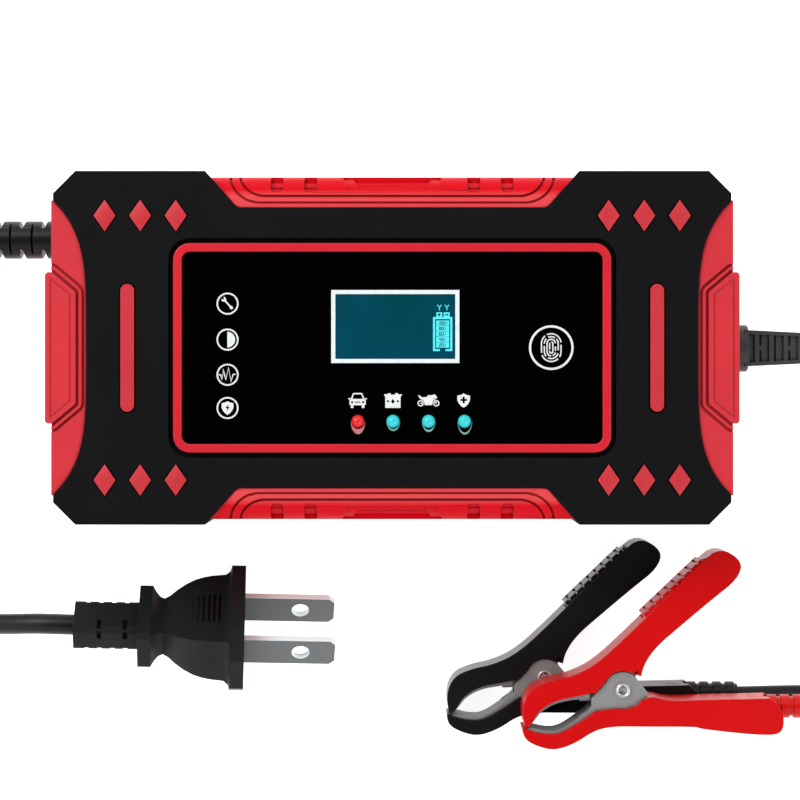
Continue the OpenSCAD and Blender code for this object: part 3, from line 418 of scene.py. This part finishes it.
def soft_edge_group():
    """Joins the faces of a CAD node and shades smoothly across every edge blunter than SMOOTH_ANGLE."""
    group = bpy.data.node_groups.new("soft_edges", "GeometryNodeTree")
    group.interface.new_socket("Geometry", in_out="INPUT", socket_type="NodeSocketGeometry")
    group.interface.new_socket("Geometry", in_out="OUTPUT", socket_type="NodeSocketGeometry")
    merge = group.nodes.new("GeometryNodeMergeByDistance")
    merge.inputs["Distance"].default_value = WELD
    drop = group.nodes.new("GeometryNodeRemoveAttribute")
    drop.inputs["Name"].default_value = "custom_normal"
    blunt = group.nodes.new("FunctionNodeCompare")
    blunt.data_type = "FLOAT"
    blunt.operation = "LESS_THAN"
    blunt.inputs["B"].default_value = math.radians(SMOOTH_ANGLE)
    faces, edges = (group.nodes.new("GeometryNodeSetShadeSmooth") for _ in range(2))
    faces.domain = "FACE"
    edges.domain = "EDGE"
    link = group.links.new
    link(group.nodes.new("GeometryNodeInputMeshEdgeAngle").outputs["Unsigned Angle"], blunt.inputs["A"])
    link(blunt.outputs["Result"], edges.inputs["Shade Smooth"])
    chain = [group.nodes.new("NodeGroupInput").outputs[0]]
    for node in (merge, drop, faces, edges):
        link(chain[-1], node.inputs["Geometry"])
        chain.append(node.outputs["Geometry"])
    link(chain[-1], group.nodes.new("NodeGroupOutput").inputs[0])
    return group


def soften(nodes):
    group = soft_edge_group()
    for node in nodes:
        NODES[node].modifiers.new("soft_edges", "NODES").node_group = group


def round_edges(node, width, segments=3):
    piece = NODES[node]
    bevel = piece.modifiers.new("round_edges", "BEVEL")
    bevel.width = width * MM
    bevel.segments = segments
    bevel.limit_method = "ANGLE"
    bevel.angle_limit = math.radians(SHARP_ANGLE)
    bevel.use_clamp_overlap = False
    bevel.harden_normals = True


def dress(material, *nodes):
    for node in nodes:
        slots = NODES[node].material_slots
        if len(slots):
            slots[0].material = material
        else:
            NODES[node].data.materials.append(material)


# ---------------------------------------------------------------- cords

CORD_D = 5.6
LEAD_D = 3.6
COIL_TURNS_IN = 2.0
COIL_RISE = 0.12
MAINS_COIL = (-154.0, -33.0)
DC_COIL = (168.0, -38.0)
MAINS_LEAD = [(-116, 29.2, 24), (-127, 29.2, 24), (-138, 29, 22.5), (-148, 29, 18.5), (-157, 28.5, 13),
              (-166, 26, 7.5), (-175, 21, 4), (-182, 13, 2.8), (-187, 2, 2.8), (-188.6, -10, 2.8),
              (-188.2, -22.6, 2.8)]
MAINS_TAIL = [(-162, -68.5, 8.4), (-151, -71, 7.5), (-141, -73.2, 4.8), (-132, -74.1, 3.6), (-123, -74.2, 6.2),
              (-114, -74, 11), (-105, -73.8, 16), (-95, -73.3, 19.8), (-86, -73.5, 20.3), (-79, -73.7, 19.8)]
DC_LEAD = [(118, 0.35, 24), (130, 0.35, 24), (139, 0.4, 21.5), (147, 0.8, 16.5), (155, 1.5, 10.5),
           (163, 1.5, 5.5), (171.5, -0.8, 3.2), (180, -4.5, 2.8)]
DC_TAIL = [(203.5, -38, 8.4), (203.4, -46, 8.2), (202.9, -54, 7.2), (202.3, -61, 5.2), (202, -66.5, 4.1),
           (202, -70, 3.9)]
BLACK_LEAD = [(199.6, -77, 3.6), (199.6, -83, 2.8), (197, -89, 2), (191, -92.7, 1.9), (183, -94.1, 1.9),
              (173, -94.3, 1.9), (163, -94.3, 1.9), (153, -94.2, 1.9), (143, -94.2, 1.9), (133, -94, 1.9),
              (123, -93.9, 1.9), (113, -93.8, 2.4), (104, -93.7, 4.2), (97, -93.7, 5.6), (90, -93.7, 6)]
RED_LEAD = [(204.4, -77, 3.6), (204.4, -83, 2.8), (203, -90, 2), (198, -96.5, 1.9), (190, -100.4, 1.9),
            (181, -101.3, 2), (172, -100.7, 3.2), (163, -99.8, 6), (154, -98.6, 9.6), (145, -97.4, 13),
            (136, -96.4, 16), (127, -95.8, 18), (119, -95.6, 18.5), (110, -95.6, 18.5)]


def coil_turns(centre, entry, leave, way, steps=28):
    """Turns of a coil: inwards on the table, up at the inside, and outwards on top of the first layer."""
    turns_in, rise = COIL_TURNS_IN, COIL_RISE
    first = math.atan2(entry[1] - centre[1], entry[0] - centre[0])
    last = math.atan2(leave[1] - centre[1], leave[0] - centre[0])
    r_in = math.hypot(entry[0] - centre[0], entry[1] - centre[1])
    r_out = math.hypot(leave[0] - centre[0], leave[1] - centre[1])
    part = (way * (last - first)) % math.tau / math.tau
    total = part + math.floor(turns_in + rise + turns_in - part + 0.5)
    inner = r_in - CORD_D * turns_in
    points = []
    count = int(total * steps)
    for i in range(1, count):
        turn = total * i / count
        if turn < turns_in:
            r, z = r_in - CORD_D * turn, CORD_D / 2
        elif turn < turns_in + rise:
            step = (turn - turns_in) / rise
            r, z = inner, CORD_D / 2 + CORD_D * step * step * (3 - 2 * step)
        else:
            step = (turn - turns_in - rise) / (total - turns_in - rise)
            r, z = inner + (r_out - inner) * step, CORD_D * 1.5
        angle = first + way * turn * math.tau
        points.append((centre[0] + r * math.cos(angle), centre[1] + r * math.sin(angle), z))
    return points


def smooth_path(points, parts=4):
    """A Catmull-Rom curve through the points, in metres."""
    p = [Vector(q) for q in points]
    path = []
    for i in range(len(p) - 1):
        a, b, c, d = p[max(i - 1, 0)], p[i], p[i + 1], p[min(i + 2, len(p) - 1)]
        for k in range(parts):
            t = k / parts
            path.append(0.5 * ((2 * b) + (c - a) * t + (2 * a - 5 * b + 4 * c - d) * t * t
                               + (3 * b - a - 3 * c + d) * t ** 3))
    path.append(p[-1])
    return [q * MM for q in path]


def path_length(path):
    return sum((b - a).length for a, b in zip(path, path[1:]))


def make_cord(name, points, diameter, material, parts=4):
    path = smooth_path(points, parts)
    curve = bpy.data.curves.new(name, "CURVE")
    curve.dimensions = "3D"
    curve.bevel_depth = diameter / 2 * MM
    curve.bevel_resolution = 5
    curve.use_fill_caps = True
    spline = curve.splines.new("POLY")
    spline.points.add(len(path) - 1)
    for point, place in zip(spline.points, path):
        point.co = (*place, 1.0)
    spline.use_smooth = True
    return add_object(name, curve, material), path_length(path)


def make_cords(materials):
    mains = MAINS_LEAD + coil_turns(MAINS_COIL, MAINS_LEAD[-1], MAINS_TAIL[0], 1) + MAINS_TAIL
    cord, length = make_cord("mains_cord", mains, CORD_D, materials["cord"])
    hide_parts("mains_cord_lead", "mains_cord_coil", "mains_cord_tail")
    output = DC_LEAD + coil_turns(DC_COIL, DC_LEAD[-1], DC_TAIL[0], -1) + DC_TAIL
    cord, length = make_cord("output_cord", output, CORD_D, materials["cord"])
    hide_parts("dc_cord_lead", "dc_cord_coil", "dc_cord_tail")
    for colour, route, material in (("black", BLACK_LEAD, "cord"), ("red", RED_LEAD, "cord_red")):
        lead, length = make_cord(f"{colour}_clamp_lead", route, LEAD_D, materials[material])
        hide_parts(f"{colour}_lead")


# ---------------------------------------------------------------- housing

def finish_housing(m):
    dress(m["shell"], "rear_shell", "front_shell", "fan_frame", "fan_rotor", "dc_splitter")
    dress(m["rubber"], "feet")
    dress(m["trim"], "end_bumper_left", "end_bumper_right", "end_block_left", "end_block_right")
    dress(m["frame"], "panel_frame")
    dress(m["stud"], "diamond_studs", "side_bars")
    dress(m["strip"], "grip_strip_top", "grip_strip_bottom")
    dress(m["panel"], "front_panel")
    dress(m["bezel"], "lcd_bezel", "lcd_backlight")
    dress(m["glass"], "lcd_glass")
    dress(m["lamp_red"], "led_red")
    dress(m["lamp_cyan"], "leds_cyan")
    dress(m["board"], "display_board", "main_board")
    dress(m["ferrite"], "transformer_core")
    dress(m["tape"], "transformer_winding")
    dress(m["can"], "bulk_capacitor", "output_capacitors")
    dress(m["copper"], "filter_choke")
    dress(m["aluminium"], "heatsinks")
    dress(m["component"], "power_transistors")
    dress(m["bright"], "fuse", "case_screws", "board_screws", "touch_spring")
    for node, width in (("front_shell", 0.12), ("rear_shell", 0.12), ("end_block_left", 0.12),
                        ("end_block_right", 0.12), ("panel_frame", 0.35), ("front_panel", 0.08),
                        ("grip_strip_top", 0.10), ("grip_strip_bottom", 0.10), ("lcd_bezel", 0.08)):
        round_edges(node, width)


# ---------------------------------------------------------------- printed signs

PRINT_T = 0.05
FUNCTION_X = -42.15
FUNCTION_YS = (11.3, 2.1, -6.9, -15.4)
MODE_XS = (-8.85, 0.18, 9.3, 18.3)
MODE_Y = -13.5
LAMP_Y = -18.75
TOUCH_X = 40.72
TOUCH_Y = 0.05
BAR_STEP = 1.41


def wrench_shapes(x, y):
    """An open-ended wrench lying from the upper left to the lower right."""
    def at(along, across):
        c = math.cos(math.radians(-48.0))
        s = math.sin(math.radians(-48.0))
        return (x + along * c - across * s, y + along * s + across * c)
    outline = [(-1.55, 0.62), (-1.95, 0.40), (-1.45, 0.16), (-1.45, -0.16), (-1.95, -0.40), (-1.55, -0.62),
               (-1.05, -0.50), (-0.80, -0.20), (0.95, -0.19), (1.35, -0.42), (1.85, -0.25), (1.85, 0.25),
               (1.35, 0.42), (0.95, 0.19), (-0.80, 0.20), (-1.05, 0.50)]
    return [[[at(a, b) for a, b in outline]]]


def shield_loop(x, y, half, height):
    top = height / 2
    right = [(0, top), (half * 0.45, top * 0.80), (half, top * 0.70), (half, top * 0.05),
             (half * 0.78, -top * 0.38), (half * 0.40, -top * 0.78), (0, -top)]
    left = [(-a, b) for a, b in right[-2:0:-1]]
    return [(x + a, y + b) for a, b in right + left]


def bolt_loop(x, y, k):
    outline = [(0.28, 1.0), (-0.62, -0.12), (-0.08, -0.12), (-0.36, -1.0), (0.62, 0.22), (0.08, 0.22)]
    return [(x + a * k, y + b * k) for a, b in outline]


def plus_loop(x, y, arm, half):
    return [(x + a, y + b) for a, b in (
        (-half, arm), (-half, half), (-arm, half), (-arm, -half), (-half, -half), (-half, -arm),
        (half, -arm), (half, -half), (arm, -half), (arm, half), (half, half), (half, arm))]


def left_signs():
    x = FUNCTION_X
    shapes = [ring(x, y, 2.82, 0.40) for y in FUNCTION_YS]
    shapes += wrench_shapes(x, 11.35)
    shapes.append([circle_loop(x - 0.05, 2.1, 2.0, 24, -90.0, 90.0)])
    wave = [(-2.3, 0.0), (-1.75, -0.05), (-1.42, -1.2), (-1.08, 1.35), (-0.80, 0.05), (-0.42, -1.2),
            (0.26, 1.8), (0.90, -1.75), (1.40, 0.05), (2.0, 0.15)]
    shapes.append(stroke([(x + a, -6.9 + b) for a, b in wave], 0.30))
    shapes.append([shield_loop(x, -15.4, 1.52, 3.5), bolt_loop(x, -15.35, 0.95)])
    return shapes


def car_shapes(x, y):
    """A car from the front."""
    cabin = [(-1.75, 0.35), (-1.25, 1.75), (-0.95, 1.95), (0.95, 1.95), (1.25, 1.75), (1.75, 0.35)]
    window = [(-1.35, 0.42), (-1.0, 1.48), (-0.85, 1.58), (0.85, 1.58), (1.0, 1.48), (1.35, 0.42)]
    body = [(-1.75, 0.35), (1.75, 0.35), (2.08, 0.0), (2.08, -1.0), (1.75, -1.2), (-1.75, -1.2), (-2.08, -1.0),
            (-2.08, 0.0)]
    lamps = [circle_loop(x + s * 1.42, y - 0.42, 0.30, 16) for s in (-1, 1)]
    grille = [(x + a, y + b) for a, b in ((-0.75, -0.28), (0.75, -0.28), (0.75, -0.52), (-0.75, -0.52))]
    shapes = [[[(x + a, y + b) for a, b in cabin], [(x + a, y + b) for a, b in window]]]
    shapes.append([[(x + a, y + b) for a, b in body], *lamps, grille])
    for s in (-1, 1):
        shapes.append(rectangle(x + s * 1.40 - 0.35, y - 1.9, x + s * 1.40 + 0.35, y - 1.15))
        shapes.append(rectangle(x + s * 2.1 - 0.28, y + 0.28, x + s * 2.1 + 0.28, y + 0.62))
    return shapes


def battery_shapes(x, y):
    """A car battery with two posts."""
    case = [(-1.95, -1.88), (1.95, -1.88), (1.95, 1.0), (2.25, 1.35), (2.25, 1.6), (1.45, 1.6), (1.25, 1.88),
            (0.65, 1.88), (0.45, 1.5), (-0.45, 1.5), (-0.65, 1.88), (-1.25, 1.88), (-1.45, 1.6), (-2.25, 1.6),
            (-2.25, 1.35), (-1.95, 1.0)]
    bolt = [(x + a, y + b) for a, b in ((0.0, 0.40), (-0.50, -0.22), (0.0, -0.85), (0.50, -0.22))]
    dots = [circle_loop(x + s * 1.25, y - 0.18, 0.30, 12) for s in (-1, 1)]
    return [[[(x + a, y + b) for a, b in case], bolt, *dots]]


def motorcycle_shapes(x, y):
    """A motorcycle from the side."""
    shapes = [ring(x + s * 2.0, y - 0.75, 0.80, 0.30) for s in (-1, 1)]
    body = [(-2.75, 1.35), (-2.3, 1.25), (-1.6, 0.75), (-0.55, 0.85), (-0.1, 1.3), (0.9, 1.3), (1.5, 1.55),
            (1.95, 1.2), (2.2, 0.55), (1.55, 0.35), (1.1, -0.35), (0.95, -1.2), (-0.95, -1.25), (-1.05, -0.55),
            (-1.4, 0.05), (-2.2, 0.45)]
    shapes.append([[(x + a, y + b) for a, b in body]])
    shapes.append(stroke([(x + 1.35, y + 0.6), (x + 2.0, y - 0.75)], 0.34))
    shapes.append(stroke([(x - 0.9, y - 0.85), (x - 2.0, y - 0.75)], 0.34))
    return shapes


def mode_signs():
    shapes = car_shapes(MODE_XS[0], MODE_Y)
    shapes += battery_shapes(MODE_XS[1], MODE_Y)
    shapes += motorcycle_shapes(MODE_XS[2], MODE_Y + 0.05)
    shapes.append([shield_loop(MODE_XS[3], MODE_Y, 1.62, 3.6),
                   plus_loop(MODE_XS[3], MODE_Y + 0.15, 0.85, 0.26)])
    return shapes


def oval_point(half_w, half_h, t):
    """A point at fraction t of the way round an upright oval with straight sides."""
    straight = 2 * (half_h - half_w)
    arc = math.pi * half_w
    run = (t % 1.0) * 2 * (straight + arc)
    if run < straight:
        return (half_w, run - straight / 2)
    run -= straight
    if run < arc:
        angle = run / half_w
        return (half_w * math.cos(angle), straight / 2 + half_w * math.sin(angle))
    run -= arc
    if run < straight:
        return (-half_w, straight / 2 - run)
    run -= straight
    angle = math.pi + run / half_w
    return (half_w * math.cos(angle), -straight / 2 + half_w * math.sin(angle))


def touch_sign():
    """A ring round a finger's ridges."""
    shapes = [ring(TOUCH_X, TOUCH_Y, 5.72, 0.56)]
    loops = [(2.5, 3.56, [(0.12, 0.36), (0.39, 0.62), (0.65, 0.90), (0.93, 1.09)]),
             (1.78, 2.80, [(0.02, 0.22), (0.25, 0.37), (0.41, 0.50), (0.54, 0.72), (0.76, 0.97)]),
             (1.08, 2.12, [(0.20, 0.84), (0.88, 0.98), (1.02, 1.12)]),
             (0.41, 1.42, [(-0.22, 0.40), (0.47, 0.72)])]
    for half_w, half_h, arcs in loops:
        for start, end in arcs:
            count = max(6, int((end - start) * 60))
            line = [oval_point(half_w, half_h, start + (end - start) * i / count) for i in range(count + 1)]
            shapes.append(stroke([(TOUCH_X + a, TOUCH_Y + b) for a, b in line], 0.32))
    return shapes


SEGMENTS = {
    "0": "abcdef", "1": "bc", "2": "abged", "4": "fgbc", "6": "afgedc", "8": "abcdefg",
}


def digit(x, y, value, w=0.42, h=0.72, line=0.13):
    ends = {"a": ((0, h), (w, h)), "b": ((w, h), (w, h / 2)), "c": ((w, h / 2), (w, 0)), "d": ((0, 0), (w, 0)),
            "e": ((0, 0), (0, h / 2)), "f": ((0, h / 2), (0, h)), "g": ((0, h / 2), (w, h / 2))}
    return [stroke([(x + ends[s][0][0], y + ends[s][0][1]), (x + ends[s][1][0], y + ends[s][1][1])], line)
            for s in SEGMENTS[value]]


def display_segments():
    """The battery gauge: outline, terminals, two clip signs and five bars."""
    x0, x1, y0, y1, line = 10.45, 15.4, -0.85, 7.9, 0.55
    outline = [
        rectangle(x0, y0, x0 + line, y1), rectangle(x1 - line, y0, x1, y1),
        rectangle(x0 + line, y1 - line, x1 - line, y1),
        rectangle(x0 + line, y0, x0 + 1.75, y0 + line), rectangle(x1 - 1.75, y0, x1 - line, y0 + line)]
    terminals = []
    for x in (12.05, 13.95):
        terminals.append([[(x - 0.76, y1), (x + 0.76, y1), (x + 0.76, y1 + 1.2), (x - 0.76, y1 + 1.2)],
                          [(x, y1 + 0.15), (x + 0.42, y1 + 0.6), (x, y1 + 1.05), (x - 0.42, y1 + 0.6)]
                          if x < 13 else [(x - 0.45, y1 + 0.42), (x + 0.45, y1 + 0.42), (x + 0.45, y1 + 0.72),
                                          (x - 0.45, y1 + 0.72)]])
    clips = []
    for x in (12.1, 14.0):
        clips.append(stroke([(x - 0.52, 11.0), (x, 10.35), (x, 9.6)], 0.22))
        clips.append(stroke([(x + 0.52, 11.0), (x + 0.06, 10.4)], 0.22))
    bars = [rectangle(11.25, 0.05 + i * BAR_STEP, 14.6, 1.36 + i * BAR_STEP) for i in range(5)]
    return outline + terminals + clips + bars


def display_marks():
    shapes = []
    for i, text in enumerate(("20", "40", "60", "80", "100")):
        left = 12.65 - 0.30 * len(text)
        for k, value in enumerate(text):
            shapes += digit(left + k * 0.66, 0.34 + i * BAR_STEP, value)
        tail = left + len(text) * 0.66
        shapes.append(stroke([(tail + 0.02, 0.36 + i * BAR_STEP), (tail + 0.40, 1.02 + i * BAR_STEP)], 0.12))
    return shapes


def lamp_glints():
    """Crescents of lamp light in the panel's gloss: each its x, half width, depth and thickness."""
    shapes = []
    for x, half, low, lift in ((-8.75, 1.85, 3.35, 1.25), (0.3, 1.75, 2.55, 0.45), (9.35, 1.70, 2.80, 0.50),
                               (18.6, 1.85, 3.45, 0.45)):
        angles = [math.radians(184 + i * 172 / 24) for i in range(25)]
        outer = [(x + half * math.cos(a), LAMP_Y + low * math.sin(a)) for a in angles]
        inner = [(x + (half - 0.08) * math.cos(a), LAMP_Y + 0.05 + (low - lift) * math.sin(a))
                 for a in angles[::-1]]
        shapes.append([outer + inner])
    return shapes


def make_signs(m):
    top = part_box("front_panel")[1][2] / MM
    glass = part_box("lcd_glass")[1][2] / MM
    flat_piece("function_signs", left_signs(), top, PRINT_T, m["print"])
    flat_piece("mode_signs", mode_signs(), top, PRINT_T, m["print"])
    flat_piece("touch_sign", touch_sign(), top, PRINT_T, m["print"])
    glints = lamp_glints()
    flat_piece("red_lamp_glint", glints[:1], top, PRINT_T / 2, m["glint_red"])
    flat_piece("cyan_lamp_glints", glints[1:], top, PRINT_T / 2, m["glint_cyan"])
    flat_piece("gauge_segments", display_segments(), glass, PRINT_T, m["segment"])
    flat_piece("gauge_marks", display_marks(), glass + PRINT_T, PRINT_T, m["glass"])


# ---------------------------------------------------------------- leads, plug and clamps

def finish_leads(m):
    dress(m["relief"], "mains_strain_relief", "mains_cord_tie", "dc_cord_tie")
    dress(m["grey_relief"], "dc_strain_relief")
    dress(m["plug"], "plug_body")
    dress(m["nickel"], "plug_blades")
    round_edges("mains_strain_relief", 0.15, 2)
    round_edges("dc_strain_relief", 0.10, 2)
    round_edges("plug_body", 0.08)
    round_edges("plug_blades", 0.12, 2)
    for colour in ("black", "red"):
        dress(m[f"boot_{colour}"], f"{colour}_fixed_boot", f"{colour}_moving_boot")
        dress(m["steel"], f"{colour}_fixed_jaw", f"{colour}_moving_jaw")
        dress(m["bright"], f"{colour}_rivet", f"{colour}_spring")
        for node in ("fixed_boot", "moving_boot"):
            round_edges(f"{colour}_{node}", 0.2)
        for node in ("fixed_jaw", "moving_jaw"):
            round_edges(f"{colour}_{node}", 0.08, 2)
        round_edges(f"{colour}_rivet", 0.2)


# ---------------------------------------------------------------- stage

FLOOR_HALF = 3.0
WORLD_STRENGTH = 1.15
DARK_FROM = 0.80
DARK_TO = 0.93


def make_floor():
    mesh = bpy.data.meshes.new("floor")
    size = FLOOR_HALF
    corners = [(-size, -size, 0), (size, -size, 0), (size, size, 0), (-size, size, 0)]
    mesh.from_pydata(corners, [], [(0, 1, 2, 3)])
    floor = bpy.data.objects.new("floor", mesh)
    SCENE.collection.objects.link(floor)
    mesh.materials.append(floor_material())


def add_light(name, place, size, power, target=(0.0, 0.0, 0.0)):
    data = bpy.data.lights.new(name, "AREA")
    data.shape = "RECTANGLE"
    data.size, data.size_y = size
    data.energy = power
    light = bpy.data.objects.new(name, data)
    light.location = place
    light.rotation_euler = (Vector(target) - Vector(place)).to_track_quat("-Z", "Y").to_euler()
    SCENE.collection.objects.link(light)


def make_lights():
    """A bright white surround with a dark patch overhead, so that gloss facing the camera stays black."""
    world = bpy.data.worlds.new("studio")
    SCENE.world = world
    world.use_nodes = True
    tree = world.node_tree
    background = tree.nodes["Background"]
    coords = node_of(tree, "ShaderNodeTexCoord").outputs["Generated"]
    split = node_of(tree, "ShaderNodeSeparateXYZ")
    tree.links.new(coords, split.inputs["Vector"])
    ramp = node_of(tree, "ShaderNodeValToRGB")
    ramp.color_ramp.elements[0].position = DARK_FROM
    ramp.color_ramp.elements[0].color = (1.0, 1.0, 1.0, 1.0)
    ramp.color_ramp.elements[1].position = DARK_TO
    ramp.color_ramp.elements[1].color = (0.0, 0.0, 0.0, 1.0)
    tree.links.new(split.outputs["Z"], ramp.inputs["Fac"])
    tree.links.new(ramp.outputs["Color"], background.inputs["Color"])
    background.inputs["Strength"].default_value = WORLD_STRENGTH
    add_light("key", (-0.7, 0.6, 0.9), (0.7, 0.7), 9.0)
    add_light("fill", (0.8, -0.5, 0.9), (0.8, 0.8), 4.0)


SCENE.view_settings.view_transform = "Standard"
make_camera()
materials = make_materials()
soften(sorted(NODES))
make_cords(materials)
finish_housing(materials)
make_signs(materials)
finish_leads(materials)
make_floor()
make_lights()
